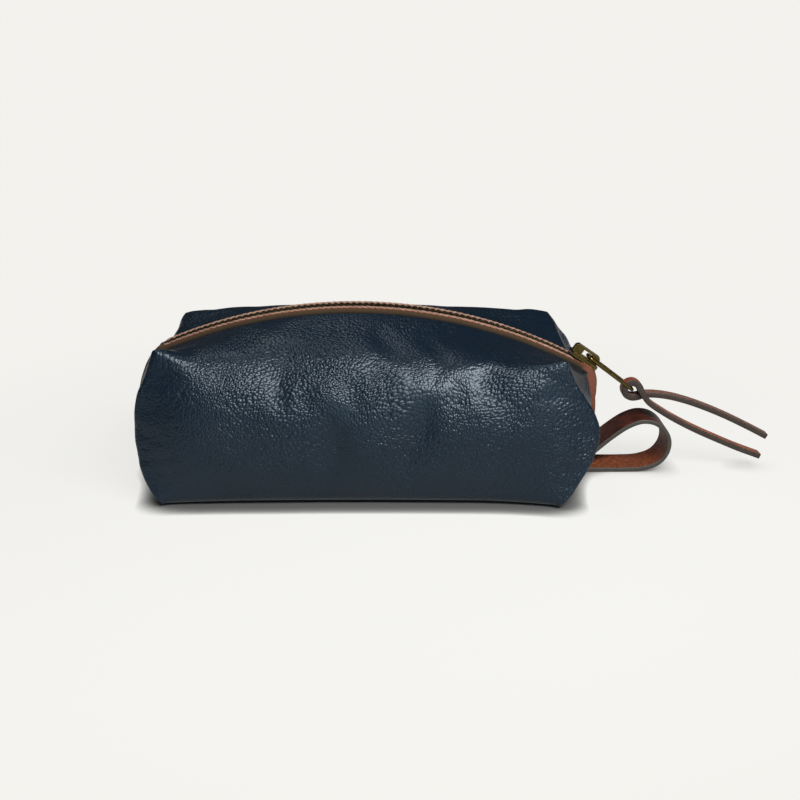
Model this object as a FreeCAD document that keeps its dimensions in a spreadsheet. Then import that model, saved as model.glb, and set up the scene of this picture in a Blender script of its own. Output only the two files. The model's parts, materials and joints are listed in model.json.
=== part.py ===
"""Boxed leather wash bag with a curved zip, a cord pull and a loop handle.

Frame: millimetres, +Z up, +X towards the closed end of the zip, -Y is the front.
The origin is the middle of the base, where the bag rests.
"""
import FreeCAD, Part
import math
import os

os.makedirs("parts", exist_ok=True)

import Sketcher
from FreeCAD import Placement, Rotation, Vector

doc = FreeCAD.newDocument("WashBag")
sheet = doc.addObject("Spreadsheet::Sheet", "Dimensions")

# alias: (value, what it is)
DIMENSIONS = {
    "half_length": (119.5, "middle of the base to the fullest part of an end"),
    "leather_thickness": (1.8, "pebbled body leather"),
    "lining_thickness": (0.6, "cotton lining"),
    "half_gap": (0.1, "half of the gap between front and back panels"),
    "slot_half_width": (13.2, "zip line to the turned-in leather edge"),
    # The zip follows one large arc from shoulder to shoulder, then dives to the end seams.
    "seam_along": (109.6, "middle of the base to an end seam"),
    "seam_height": (5.0, "end seam above the base"),
    "arc_radius": (243.7, "zip arc radius"),
    "arc_centre_along": (-6.0, "zip arc centre along the bag"),
    "arc_centre_depth": (157.4, "zip arc centre below the base"),
    "drop_radius": (60.0, "tape's curve down each end"),
    "drop_height": (36.0, "height where drop_right and drop_left are measured"),
    "drop_right": (120.5, "tape from the middle, closed end"),
    "drop_left": (118.5, "tape from the middle, open end"),
    "bend_radius_right": (4.0, "tape's bend over the closed end's shoulder"),
    "bend_radius_left": (18.0, "tape's bend over the open end's shoulder"),
    "tape_thickness": (0.8, "zip tape"),
    "tape_half_width": (13.0, "zip line to the tape's outer edge"),
    "tape_inner_edge": (2.2, "zip line to the tape's inner edge"),
    # Zip chain, a number 8 size.
    "tooth_inner": (0.65, "zip line to the tooth's head"),
    "tooth_outer": (4.0, "zip line to the tooth's heel"),
    "tooth_thickness": (2.4, "tooth height through the tape"),
    "tooth_width": (1.9, "tooth along the zip"),
    "tooth_pitch": (3.1, "spacing of teeth on one side"),
    "teeth_first": (-23.0, "arc angle of the first tooth, degrees"),
    "teeth_last": (29.2, "arc angle of the last tooth, degrees"),
    "jaw_gap": (0.9, "slot in a tooth that grips the tape"),
    "tooth_chamfer": (0.5, "tooth head corners"),
    "top_stop_angle": (29.9, "arc angle of the top stops, degrees"),
    "top_stop_width": (1.6, "top stop along the zip"),
    "bottom_stop_angle": (-23.7, "arc angle of the bottom stop, degrees"),
    "bottom_stop_width": (3.0, "bottom stop along the zip"),
    "bottom_stop_half": (3.6, "bottom stop across the zip, to one side"),
    "stitch_offset": (6.4, "zip line to the tape's stitch line"),
    "stitch_length": (2.0, "one stitch"),
    "stitch_pitch": (3.4, "spacing of stitches"),
    "stitch_thickness": (0.4, "sewing thread"),
    # Slider, in its own frame: along the zip, across it, and away from the bag.
    "slider_angle": (28.4, "arc angle of the slider at rest, degrees"),
    "slider_tilt": (6.0, "slider's nose-down rock on the chain, degrees"),
    "slider_length": (16.0, "slider body"),
    "slider_tail_width": (9.6, "slider body at the meshed end"),
    "slider_mouth_width": (12.6, "slider body at the mouth"),
    "slider_height": (6.6, "outer faces of the two plates"),
    "channel_height": (4.6, "room for the chain"),
    "channel_half_width": (4.4, "room for the chain"),
    "tape_slit_height": (3.0, "room for the tape"),
    "neck_thickness": (1.0, "wedge that joins the plates"),
    "neck_length": (3.0, "wedge along the zip"),
    "neck_start": (3.6, "wedge from the slider's middle"),
    "crown_length": (15.0, "crown along the zip"),
    "crown_height": (4.6, "crown above the top plate"),
    "crown_width": (3.2, "crown across the zip"),
    "eye_start": (-2.4, "crown opening from the slider's middle"),
    "eye_end": (3.4, "crown opening from the slider's middle"),
    "eye_low": (0.4, "crown opening above the top plate"),
    "eye_high": (3.3, "crown opening above the top plate"),
    # Puller: a wire link through the crown.
    "wire_diameter": (1.8, "puller wire"),
    "link_length": (29.0, "puller between bar centres"),
    "link_width": (6.8, "puller between side wire centres"),
    "link_corner": (1.6, "puller corner radius"),
    "link_bar_along": (1.6, "inner bar from the slider's middle"),
    "link_bar_height": (5.0, "inner bar above the zip arc"),
    "link_fall": (37.0, "puller below the horizontal, degrees"),
    # Leather cord on the puller.
    "cord_width": (4.3, "cord strip"),
    "cord_thickness": (2.2, "cord strip"),
    "cord_clearance": (0.06, "cord loop to wire"),
    "upper_tail_fall": (19.2, "upper tail below the horizontal, degrees"),
    "lower_tail_fall": (28.4, "lower tail below the horizontal, degrees"),
    "tail_length": (78.5, "tail from the cord's loop"),
    # Handle: a folded strap sewn into the closed end's seam.
    "handle_width": (20.0, "handle strap across"),
    "handle_thickness": (2.3, "handle strap"),
    "handle_root": (108.6, "lower leg where it leaves the seam"),
    "handle_upper_root": (116.2, "upper leg where it leaves the seam"),
    "handle_root_height": (4.2, "upper leg where it leaves the seam"),
    "handle_turn_radius": (13.0, "strap's far turn"),
    "handle_turn_along": (146.0, "middle of the far turn"),
    "handle_top_radius": (20.0, "strap's bend over the top"),
}

for row, (alias, (value, note)) in enumerate(DIMENSIONS.items(), start=1):
    sheet.set(f"A{row}", note)
    sheet.set(f"B{row}", str(value))
    sheet.setAlias(f"B{row}", alias)

# Cross-sections of the body, the same at both ends. base_half is half of the flat underside,
# edge_low and edge_high are the heights of the lower and upper front edges, and crown_rise is
# the height of the leather over the zip arc. The sections close towards the ends.
STATIONS = [
    ("middle", 0.0, 49.5, 46.0, 3.0, 60.0, 0.0, 3.0),
    ("quarter", 55.0, 49.5, 46.0, 3.0, 61.0, 0.0, 2.6),
    ("shoulder", 86.0, 48.8, 45.0, 3.0, 66.0, 0.0, 2.0),
    ("corner", 98.0, 47.6, 40.0, 5.0, 71.0, 0.0, 2.0),
    ("bulge", 106.0, 46.0, 20.0, 20.0, 61.0, 0.5, 1.5),
    ("pinch", 113.0, 43.0, 15.0, 32.0, 47.0, 10.5, 0.6),
    ("end", 119.5, 16.0, 6.0, 31.0, 42.0, 26.0, -2.5),
]
STATION_FIELDS = [
    "along",
    "half_depth",
    "base_half",
    "edge_low",
    "edge_high",
    "base",
    "crown_rise",
]

row = len(DIMENSIONS) + 2
for name, *values in STATIONS:
    for field, value in zip(STATION_FIELDS, values):
        sheet.set(f"A{row}", f"section {name}: {field}")
        sheet.set(f"B{row}", str(value))
        sheet.setAlias(f"B{row}", f"{name}_{field}")
        row += 1
doc.recompute()


def dim(alias):
    """A driving dimension's value from the sheet."""
    return float(sheet.get(alias))


class Size:
    """A length with the sheet expression that drives it."""

    def __init__(self, value, text):
        self.value = float(value)
        self.text = text

    def __add__(self, other):
        other = as_size(other)
        return Size(self.value + other.value, f"({self.text} + {other.text})")

    def __sub__(self, other):
        other = as_size(other)
        return Size(self.value - other.value, f"({self.text} - {other.text})")

    def __mul__(self, other):
        other = as_size(other)
        return Size(self.value * other.value, f"({self.text} * {other.text})")

    def __truediv__(self, other):
        other = as_size(other)
        return Size(self.value / other.value, f"({self.text} / {other.text})")

    def __neg__(self):
        return Size(-self.value, f"(0 - {self.text})")


def as_size(number):
    """A plain number as a Size."""
    return number if isinstance(number, Size) else Size(number, repr(float(number)))


def size(alias):
    """The Size of one of the sheet's cells."""
    return Size(dim(alias), f"Dimensions.{alias}")


def square_root(inside):
    return Size(math.sqrt(inside.value), f"sqrt({inside.text})")


def zip_height(along):
    """Height of the zip arc at a place along the bag, as a Size."""
    reach = along - size("arc_centre_along")
    chord = square_root(size("arc_radius") * size("arc_radius") - reach * reach)
    return chord - size("arc_centre_depth")


def zip_point(angle, offset=0.0):
    """A point at an angle from the top of the zip arc, and its offset outwards."""
    radius = dim("arc_radius") + offset
    turn = math.radians(angle)
    return Vector(
        dim("arc_centre_along") + radius * math.sin(turn),
        0,
        radius * math.cos(turn) - dim("arc_centre_depth"),
    )


def along_zip(angle, tilt=0.0):
    """Placement of a frame on the zip arc: x along the zip, z away from the bag."""
    turn = Rotation(Vector(0, 1, 0), angle + tilt)
    return Placement(zip_point(angle), turn)


def origin_plane(body, role):
    """One of a body's own origin planes, such as XY_Plane."""
    return [f for f in body.Origin.OriginFeatures if f.Role == role][0]


def new_body(name):
    body = doc.addObject("PartDesign::Body", name)
    body.Label = name
    return body


def new_sketch(body, name, role):
    sketch = body.newObject("Sketcher::SketchObject", name)
    sketch.AttachmentSupport = [(origin_plane(body, role), "")]
    sketch.MapMode = "FlatFace"
    return sketch


def drive(sketch, kind, *args):
    """Adds a constraint whose last argument is a Size."""
    *place, value = args
    index = sketch.addConstraint(Sketcher.Constraint(kind, *place, value.value))
    sketch.setExpression(f"Constraints[{index}]", value.text)


def pin(sketch, geometry, vertex, across, up):
    """Fixes a sketch vertex at two coordinates, given as Sizes."""
    drive(sketch, "DistanceX", -1, 1, geometry, vertex, as_size(across))
    drive(sketch, "DistanceY", -1, 1, geometry, vertex, as_size(up))


def join_ends(sketch, first, count):
    """Joins the ends of consecutive sketch edges into a closed outline."""
    for i in range(count):
        after = first + (i + 1) % count
        sketch.addConstraint(Sketcher.Constraint("Coincident", first + i, 2, after, 1))


def outline(sketch, corners):
    """A closed polygon whose corners are pairs of Sizes."""
    corners = [(as_size(a), as_size(b)) for a, b in corners]
    first = sketch.GeometryCount
    points = [Vector(a.value, b.value, 0) for a, b in corners]
    for start, end in zip(points, points[1:] + points[:1]):
        sketch.addGeometry(Part.LineSegment(start, end))
    join_ends(sketch, first, len(points))
    for i, (across, up) in enumerate(corners):
        pin(sketch, first + i, 1, across, up)


def rectangle(sketch, left, right, low, high):
    outline(sketch, [(left, low), (right, low), (right, high), (left, high)])


def pad(body, sketch, name, length, kind="PartDesign::Pad"):
    """A Pad or Pocket through a sketch's plane, the same to both sides."""
    feature = body.newObject(kind, name)
    feature.Profile = sketch
    feature.SideType = "Symmetric"
    feature.setExpression("Length", as_size(length).text)
    return feature


def bent_edge(sketch, start, middle, end):
    """An arc through three points given as pairs of Sizes; only its middle is fixed here."""
    points = [Vector(a.value, b.value, 0) for a, b in (start, middle, end)]
    arc = sketch.addGeometry(Part.Arc(*points))
    point = sketch.addGeometry(Part.Point(points[1]), True)
    pin(sketch, point, 1, *middle)
    sketch.addConstraint(Sketcher.Constraint("PointOnObject", point, 1, arc))
    return arc


def body_section(body, station, side, inset):
    """One closed cross-section of the bag, inset from the outside of the leather."""
    name = f"{body.Name}_{station}_{'right' if side > 0 else 'left'}"
    sketch = new_sketch(body, name, "YZ_Plane")
    along = size(f"{station}_along") * side
    shrink = (size("half_length") - inset) / size("half_length")
    sketch.setExpression("AttachmentOffset.Base.z", (along * shrink).text)

    half = size(f"{station}_half_depth") - inset
    flat = size(f"{station}_base_half") - inset
    base = size(f"{station}_base") + inset
    low = size(f"{station}_edge_low") + inset
    high = size(f"{station}_edge_high") - inset
    crown = zip_height(along) + size(f"{station}_crown_rise") - inset
    belly = half + (high - low) * 0.03
    waist = (low + high) * 0.5

    corners = [
        (-flat, base),
        (flat, base),
        (half, low),
        (half, high),
        (-half, high),
        (-half, low),
    ]
    points = [Vector(a.value, b.value, 0) for a, b in corners]
    edges = [
        sketch.addGeometry(Part.LineSegment(points[0], points[1])),
        sketch.addGeometry(Part.LineSegment(points[1], points[2])),
        bent_edge(sketch, corners[2], (belly, waist), corners[3]),
        bent_edge(sketch, corners[3], (as_size(0), crown), corners[4]),
        bent_edge(sketch, corners[4], (-belly, waist), corners[5]),
        sketch.addGeometry(Part.LineSegment(points[5], points[0])),
    ]
    for edge, after, corner in zip(edges, edges[1:] + edges[:1], corners[1:] + corners[:1]):
        # an arc's ends run against its drawing order when it turns clockwise
        end = end_at(sketch, edge, corner)
        start = end_at(sketch, after, corner)
        sketch.addConstraint(Sketcher.Constraint("Coincident", edge, end, after, start))
        pin(sketch, after, start, *corner)
    return sketch


def end_at(sketch, edge, corner):
    """Which end of a sketch edge (1 or 2) lies at a corner."""
    here = Vector(corner[0].value, corner[1].value, 0)
    ends = [sketch.getPoint(edge, vertex).distanceToPoint(here) for vertex in (1, 2)]
    return 1 + ends.index(min(ends))


def bag_form(name, inset):
    """The bag's rounded form, inset from the outside of the leather, as a loft."""
    body = new_body(name)
    names = [station[0] for station in STATIONS]
    sections = [body_section(body, station, -1, inset) for station in names[:0:-1]]
    sections += [body_section(body, station, 1, inset) for station in names]
    loft = body.newObject("PartDesign::AdditiveLoft", f"{name}_loft")
    loft.Profile = sections[0]
    loft.Sections = sections[1:]
    loft.Ruled = True
    return body


def set_size(feature, **lengths):
    """Binds a feature's lengths to the sheet."""
    for name, length in lengths.items():
        feature.setExpression(name, as_size(length).text)


def block(name, left, right, front, back, low, high):
    """A Part box between two corners given as Sizes."""
    box = doc.addObject("Part::Box", name)
    left, front, low = as_size(left), as_size(front), as_size(low)
    set_size(box, Length=as_size(right) - left)
    set_size(box, Width=as_size(back) - front)
    set_size(box, Height=as_size(high) - low)
    box.setExpression("Placement.Base.x", left.text)
    box.setExpression("Placement.Base.y", front.text)
    box.setExpression("Placement.Base.z", low.text)
    return box


def combine(kind, name, base, tool):
    """A Part::Cut or Part::Common of two objects."""
    result = doc.addObject(kind, name)
    result.Base = base
    result.Tool = tool
    result.Label = name
    return result


def half_panel(name, outside, inside, slot, half_space):
    """Half of the shell between two forms, without the zip slot."""
    shell = combine("Part::Cut", f"{name}_shell", outside, inside)
    open_shell = combine("Part::Cut", f"{name}_slotted", shell, slot)
    return combine("Part::Common", name, open_shell, half_space)


def arc_geometry(centre, radius, first, last):
    """A sketch arc between two angles in degrees, counterclockwise."""
    circle = Part.Circle(Vector(*centre, 0), Vector(0, 0, 1), radius)
    return Part.ArcOfCircle(circle, math.radians(first), math.radians(last))


def tape_path():
    """Underside of the zip tape along its length: drop, bend, arc, bend, drop."""
    sketch = doc.addObject("Sketcher::SketchObject", "tape_path")
    sketch.Placement = Placement(Vector(), Rotation(Vector(1, 0, 0), 90))
    under = size("tape_thickness") * 0.5
    radius = size("arc_radius") - under
    centre = (dim("arc_centre_along"), -dim("arc_centre_depth"))

    main = sketch.addGeometry(arc_geometry(centre, radius.value, 60, 114))
    pin(sketch, main, 3, size("arc_centre_along"), -size("arc_centre_depth"))
    drive(sketch, "Radius", main, radius)

    for side, name, far_angle in ((1, "right", 57), (-1, "left", 123)):
        seam = (size("seam_along") * side, size("seam_height"))
        through = ((size(f"drop_{name}") - under) * side, size("drop_height"))
        drop = sketch.addGeometry(drop_arc(seam, through, side))
        drive(sketch, "Radius", drop, size("drop_radius") - under)
        point = sketch.addGeometry(Part.Point(flat(through)), True)
        pin(sketch, point, 1, *through)
        sketch.addConstraint(Sketcher.Constraint("PointOnObject", point, 1, drop))
        seam_end = end_at(sketch, drop, seam)
        pin(sketch, drop, seam_end, *seam)

        bend_radius = size(f"bend_radius_{name}") - under
        middle = (side * (dim(f"drop_{name}") - bend_radius.value), 48.0)
        span = (5, 55) if side > 0 else (125, 175)
        bend = sketch.addGeometry(arc_geometry(middle, bend_radius.value, *span))
        drive(sketch, "Radius", bend, bend_radius)
        main_end, bend_main_end = (1, 2) if side > 0 else (2, 1)
        sketch.addConstraint(
            Sketcher.Constraint("Tangent", main, main_end, bend, bend_main_end)
        )
        sketch.addConstraint(
            Sketcher.Constraint("Tangent", bend, 3 - bend_main_end, drop, 3 - seam_end)
        )
    return sketch


def flat(point):
    """A pair of Sizes as a sketch vector."""
    return Vector(point[0].value, point[1].value, 0)


def drop_arc(seam, through, side):
    """Start shape of the tape's curve down an end, from the seam up to the shoulder."""
    radius = dim("drop_radius")
    seam, through = flat(seam), flat(through)
    chord = through - seam
    inward = Vector(-chord.y * side, chord.x * side, 0).normalize()
    rise = math.sqrt(radius**2 - (chord.Length / 2) ** 2)
    centre = (seam + through) * 0.5 + inward * rise
    first = math.degrees(math.atan2(seam.y - centre.y, seam.x - centre.x))
    if side > 0:
        return arc_geometry((centre.x, centre.y), radius, first, 10)
    return arc_geometry((centre.x, centre.y), radius, 170, first % 360)


def strip(name, path, thickness, near, far):
    """A flat strip of even thickness along a path in the XZ plane, from y = near to far."""
    profile = doc.addObject("Part::Offset2D", f"{name}_profile")
    profile.Source = path
    profile.Mode = "Skin"
    profile.Fill = True
    set_size(profile, Value=-as_size(thickness))
    solid = doc.addObject("Part::Extrusion", name)
    solid.Base = profile
    solid.DirMode = "Custom"
    solid.Dir = Vector(0, 1, 0)
    solid.Solid = True
    set_size(solid, LengthFwd=far, LengthRev=-as_size(near))
    solid.Label = name
    return solid


# ---- leather and lining ----
leather_outside = bag_form("leather_outside", as_size(0))
leather_inside = bag_form("leather_inside", size("leather_thickness"))
lining_inside = bag_form("lining_inside", size("leather_thickness") + size("lining_thickness"))

room = size("half_length") + 10
slot = block(
    "zip_slot", -room, room, -size("slot_half_width"), size("slot_half_width"),
    size("seam_height"), room,
)
halves = {
    "front": block("front_half", -room, room, -room, -size("half_gap"), -room, room),
    "back": block("back_half", -room, room, size("half_gap"), room, -room, room),
}
nodes = []
for side, half_space in halves.items():
    nodes.append(
        half_panel(f"leather_{side}", leather_outside, leather_inside, slot, half_space)
    )
    nodes.append(
        half_panel(f"lining_{side}", leather_inside, lining_inside, slot, half_space)
    )

# ---- zip tape ----
path = tape_path()
inner, outer = size("tape_inner_edge"), size("tape_half_width")
nodes.append(strip("zip_tape_front", path, size("tape_thickness"), -outer, -inner))
nodes.append(strip("zip_tape_back", path, size("tape_thickness"), inner, outer))



def ring_body(name, angle):
    """A body whose frame turns about the zip arc's centre, so that z = arc_radius is the zip."""
    body = new_body(name)
    centre = Vector(dim("arc_centre_along"), 0, -dim("arc_centre_depth"))
    body.Placement = Placement(centre, Rotation(Vector(0, 1, 0), angle))
    return body


def repeat_along_zip(body, original, first, last, pitch):
    """Repeats a feature of a ring body from one arc angle to another."""
    steps = int(math.radians(last - first) * dim("arc_radius") / pitch)
    pattern = body.newObject("PartDesign::PolarPattern", f"{body.Name}_row")
    pattern.Originals = [original]
    pattern.Axis = (origin_plane(body, "Y_Axis"), [""])
    pattern.Angle = math.degrees(steps * pitch / dim("arc_radius"))
    pattern.Occurrences = steps + 1
    body.Tip = pattern


def tooth_outline(sketch, side):
    """A tooth seen along the zip: a head, and two jaws around the tape's edge."""
    middle = size("arc_radius")
    head, heel = size("tooth_inner") * side, size("tooth_outer") * side
    shoulder = (size("tooth_inner") + size("tooth_chamfer")) * side
    grip = (size("tape_inner_edge") - 0.05) * side
    rise = size("tooth_thickness") * 0.5
    cut_rise = rise - size("tooth_chamfer")
    jaw = size("jaw_gap") * 0.5
    outline(
        sketch,
        [
            (head, middle - cut_rise),
            (shoulder, middle - rise),
            (heel, middle - rise),
            (heel, middle - jaw),
            (grip, middle - jaw),
            (grip, middle + jaw),
            (heel, middle + jaw),
            (heel, middle + rise),
            (shoulder, middle + rise),
            (head, middle + cut_rise),
        ],
    )


def zip_teeth(name, side, start):
    """The row of teeth on one tape; the two rows are half a pitch apart."""
    body = ring_body(name, start)
    sketch = new_sketch(body, f"{name}_outline", "YZ_Plane")
    tooth_outline(sketch, side)
    tooth = pad(body, sketch, f"{name}_tooth", size("tooth_width"))
    repeat_along_zip(body, tooth, start, dim("teeth_last"), dim("tooth_pitch"))
    return body


def top_stops():
    """A stop on each tape, just inside the slider's mouth when the zip is closed."""
    body = ring_body("zip_top_stops", dim("top_stop_angle"))
    for side, word in ((-1, "front"), (1, "back")):
        sketch = new_sketch(body, f"top_stop_{word}_outline", "YZ_Plane")
        tooth_outline(sketch, side)
        pad(body, sketch, f"top_stop_{word}", size("top_stop_width"))
    return body


def bottom_stop():
    """One stop across both tapes at the open end."""
    body = ring_body("zip_bottom_stop", dim("bottom_stop_angle"))
    sketch = new_sketch(body, "bottom_stop_outline", "YZ_Plane")
    middle = size("arc_radius")
    rise = size("tooth_thickness") * 0.5
    jaw = size("jaw_gap") * 0.5
    half, grip = size("bottom_stop_half"), size("tape_inner_edge") - 0.05
    right = [(grip, -jaw), (half, -jaw), (half, -rise)]
    lower = [(-a, b) for a, b in reversed(right)] + [(-grip, jaw)]
    upper = [(-half, jaw), (-half, rise), (half, rise), (half, jaw), (grip, jaw)]
    across = right[::-1][:1] + right[1::-1] + upper[::-1] + lower[::-1]
    outline(sketch, [(a, middle + b) for a, b in across])
    pad(body, sketch, "bottom_stop_bar", size("bottom_stop_width"))
    return body


def tape_stitching(name, side):
    """A row of stitches on one tape, beside the teeth."""
    body = ring_body(name, dim("teeth_first"))
    sketch = new_sketch(body, f"{name}_outline", "YZ_Plane")
    low = size("arc_radius") + size("tape_thickness") * 0.5
    near = (size("stitch_offset") - size("stitch_thickness") * 0.5) * side
    far = (size("stitch_offset") + size("stitch_thickness") * 0.5) * side
    rectangle(sketch, near, far, low, low + size("stitch_thickness") * 0.6)
    stitch = pad(body, sketch, f"{name}_stitch", size("stitch_length"))
    repeat_along_zip(body, stitch, dim("teeth_first"), dim("teeth_last"), dim("stitch_pitch"))
    return body


def slider_place():
    """The slider's frame at rest."""
    return along_zip(dim("slider_angle"), dim("slider_tilt"))


def slider_body():
    """Two plates joined by a wedge, with a channel for the teeth and slits for the tape."""
    body = new_body("slider_body")
    body.Placement = slider_place()
    plan = new_sketch(body, "slider_plan", "XY_Plane")
    end = size("slider_length") * 0.5
    tail, mouth = size("slider_tail_width") * 0.5, size("slider_mouth_width") * 0.5
    nose = mouth - 1.6
    outline(
        plan,
        [
            (-end, -tail + 1), (-end + 1, -tail), (0, -tail), (end * 0.5, -mouth),
            (end - 1, -mouth), (end, -nose), (end, nose), (end - 1, mouth),
            (end * 0.5, mouth), (0, tail), (-end + 1, tail), (-end, tail - 1),
        ],
    )
    pad(body, plan, "slider_blank", size("slider_height"))

    channel = new_sketch(body, "slider_channel_outline", "YZ_Plane")
    half, rise = size("channel_half_width"), size("channel_height") * 0.5
    rectangle(channel, -half, half, -rise, rise)
    through = size("slider_length") + 2
    pad(body, channel, "slider_channel", through, "PartDesign::Pocket")

    slit = new_sketch(body, "tape_slit_outline", "YZ_Plane")
    rise = size("tape_slit_height") * 0.5
    rectangle(slit, -mouth - 1, mouth + 1, -rise, rise)
    pad(body, slit, "tape_slit", through, "PartDesign::Pocket")

    wedge = new_sketch(body, "slider_wedge_plan", "XY_Plane")
    start, half = size("neck_start"), size("neck_thickness") * 0.5
    rectangle(wedge, start, start + size("neck_length"), -half, half)
    pad(body, wedge, "slider_wedge", size("channel_height") + 0.4)
    return body


def slider_crown():
    """The raised loop on the top plate that holds the puller."""
    body = new_body("slider_crown")
    body.Placement = slider_place()
    sketch = new_sketch(body, "crown_outline", "XZ_Plane")
    end = size("crown_length") * 0.5
    low = size("slider_height") * 0.5
    high = low + size("crown_height")
    outline(
        sketch,
        [(-end, low), (end, low), (end, high - 1.2), (end - 1.2, high),
         (-end + 1.2, high), (-end, high - 1.2)],
    )
    pad(body, sketch, "crown_plate", size("crown_width"))
    eye = new_sketch(body, "crown_eye_outline", "XZ_Plane")
    eye_low, eye_high = low + size("eye_low"), low + size("eye_high")
    rectangle(eye, size("eye_start"), size("eye_end"), eye_low, eye_high)
    pad(body, eye, "crown_eye", size("crown_width") + 2, "PartDesign::Pocket")
    return body


def link_place():
    """The puller's frame at rest: origin on its inner bar, x along the puller."""
    bar = Vector(dim("link_bar_along"), 0, dim("link_bar_height"))
    hinge = slider_place().multVec(bar)
    return Placement(hinge, Rotation(Vector(0, 1, 0), dim("link_fall")))


def puller():
    """A closed link of round wire."""
    body = new_body("puller")
    body.Placement = link_place()
    path = new_sketch(body, "link_path", "XY_Plane")
    length, half = size("link_length"), size("link_width") * 0.5
    corner = size("link_corner")
    middle = length * 0.5
    near, far = corner, length - corner
    low, high = corner - half, half - corner
    runs = [
        ((middle, -half), (far, -half)), ((length, low), (length, high)),
        ((far, half), (near, half)), ((as_size(0), high), (as_size(0), low)),
        ((near, -half), (middle, -half)),
    ]
    turns = [((far, low), 270, 360), ((far, high), 0, 90), ((near, high), 90, 180), ((near, low), 180, 270)]
    edges = []
    for i, (start, end) in enumerate(runs):
        edges.append(path.addGeometry(Part.LineSegment(flat(start), flat(end))))
        pin(path, edges[-1], 1, *start)
        pin(path, edges[-1], 2, *end)
        if i < len(turns):
            centre, first, last = turns[i]
            place = (centre[0].value, centre[1].value)
            edges.append(path.addGeometry(arc_geometry(place, corner.value, first, last)))
            drive(path, "Radius", edges[-1], corner)
    for edge, after in zip(edges, edges[1:]):
        path.addConstraint(Sketcher.Constraint("Coincident", edge, 2, after, 1))

    wire = new_sketch(body, "wire_section", "YZ_Plane")
    wire.setExpression("AttachmentOffset.Base.z", middle.text)
    circle = wire.addGeometry(
        Part.Circle(Vector(-half.value, 0, 0), Vector(0, 0, 1), dim("wire_diameter") / 2)
    )
    pin(wire, circle, 3, -half, 0)
    drive(wire, "Diameter", circle, size("wire_diameter"))
    pipe = body.newObject("PartDesign::AdditivePipe", "link_wire")
    pipe.Profile = wire
    pipe.Spine = path
    pipe.Mode = "Frenet"
    return body


def pull_cord():
    """A leather strip looped on the puller's outer bar, with its two tails."""
    body = new_body("pull_cord")
    body.Placement = Placement(
        link_place().multVec(Vector(dim("link_length"), 0, 0)), Rotation()
    )
    loop = new_sketch(body, "cord_loop_outline", "XZ_Plane")
    hole = size("wire_diameter") * 0.5 + size("cord_clearance")
    for radius in (hole, hole + size("cord_thickness") * 1.8):
        circle = loop.addGeometry(Part.Circle(Vector(), Vector(0, 0, 1), radius.value))
        pin(loop, circle, 3, 0, 0)
        drive(loop, "Radius", circle, radius)
    pad(body, loop, "cord_loop", size("cord_width"))
    for word in ("upper", "lower"):
        sketch = new_sketch(body, f"{word}_tail_outline", "XZ_Plane")
        fall = size(f"{word}_tail_fall")
        sketch.AttachmentOffset = Placement(Vector(), Rotation(Vector(0, 0, 1), -fall.value))
        half = size("cord_thickness") * 0.5
        start = hole + size("cord_thickness")
        rectangle(sketch, start, size("tail_length"), -half, half)
        pad(body, sketch, f"{word}_tail", size("cord_width"))
    return body


def handle_path():
    """Inner face of the handle loop: along the floor, round the turn, and back to the seam."""
    sketch = doc.addObject("Sketcher::SketchObject", "handle_path")
    sketch.Placement = Placement(Vector(), Rotation(Vector(1, 0, 0), 90))
    skin = size("handle_thickness")
    root, turn = size("handle_root"), size("handle_turn_along")
    radius = size("handle_turn_radius") - skin * 0.5
    top_radius = size("handle_top_radius") - skin * 0.5
    upper_root = (size("handle_upper_root"), size("handle_root_height"))
    floor_run = sketch.addGeometry(Part.LineSegment(flat((root, skin)), flat((turn, skin))))
    far_turn = sketch.addGeometry(
        arc_geometry((turn.value, skin.value + radius.value), radius.value, -90, 85)
    )
    over = sketch.addGeometry(arc_geometry((turn.value, 7.5), top_radius.value, 92, 128))
    back = sketch.addGeometry(
        Part.LineSegment(Vector(turn.value - 12, 22, 0), flat(upper_root))
    )
    pin(sketch, floor_run, 1, root, skin)
    drive(sketch, "DistanceX", -1, 1, far_turn, 3, turn)
    drive(sketch, "Radius", far_turn, radius)
    drive(sketch, "Radius", over, top_radius)
    pin(sketch, back, 2, *upper_root)
    sketch.addConstraint(Sketcher.Constraint("Horizontal", floor_run))
    for edge, after in ((floor_run, far_turn), (far_turn, over), (over, back)):
        sketch.addConstraint(Sketcher.Constraint("Tangent", edge, 2, after, 1))
    return sketch


# ---- zip chain ----
half_pitch = math.degrees(dim("tooth_pitch") / 2 / dim("arc_radius"))
nodes.append(zip_teeth("zip_teeth_front", -1, dim("teeth_first")))
nodes.append(zip_teeth("zip_teeth_back", 1, dim("teeth_first") + half_pitch))
nodes.append(top_stops())
nodes.append(bottom_stop())
nodes.append(tape_stitching("tape_stitching_front", -1))
nodes.append(tape_stitching("tape_stitching_back", 1))

# ---- slider, puller and cord ----
nodes.append(slider_body())
nodes.append(slider_crown())
nodes.append(puller())
nodes.append(pull_cord())

# ---- handle ----
half_handle = size("handle_width") * 0.5
nodes.append(
    strip("handle_loop", handle_path(), size("handle_thickness"), -half_handle, half_handle)
)

doc.recompute()

# ---- check and export ----
for item in doc.Objects:
    if "Invalid" in item.State or "Error" in item.State:
        raise RuntimeError(f"{item.Name}: {item.State}")
for node in nodes:
    if node.Shape.isNull() or not node.Shape.isValid():
        raise RuntimeError(f"{node.Label}: bad shape")
    node.Shape.exportStep(f"parts/{node.Label}.step")
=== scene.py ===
import json
import math

import bmesh
import bpy
import numpy as np
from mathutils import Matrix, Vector, kdtree, noise


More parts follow.
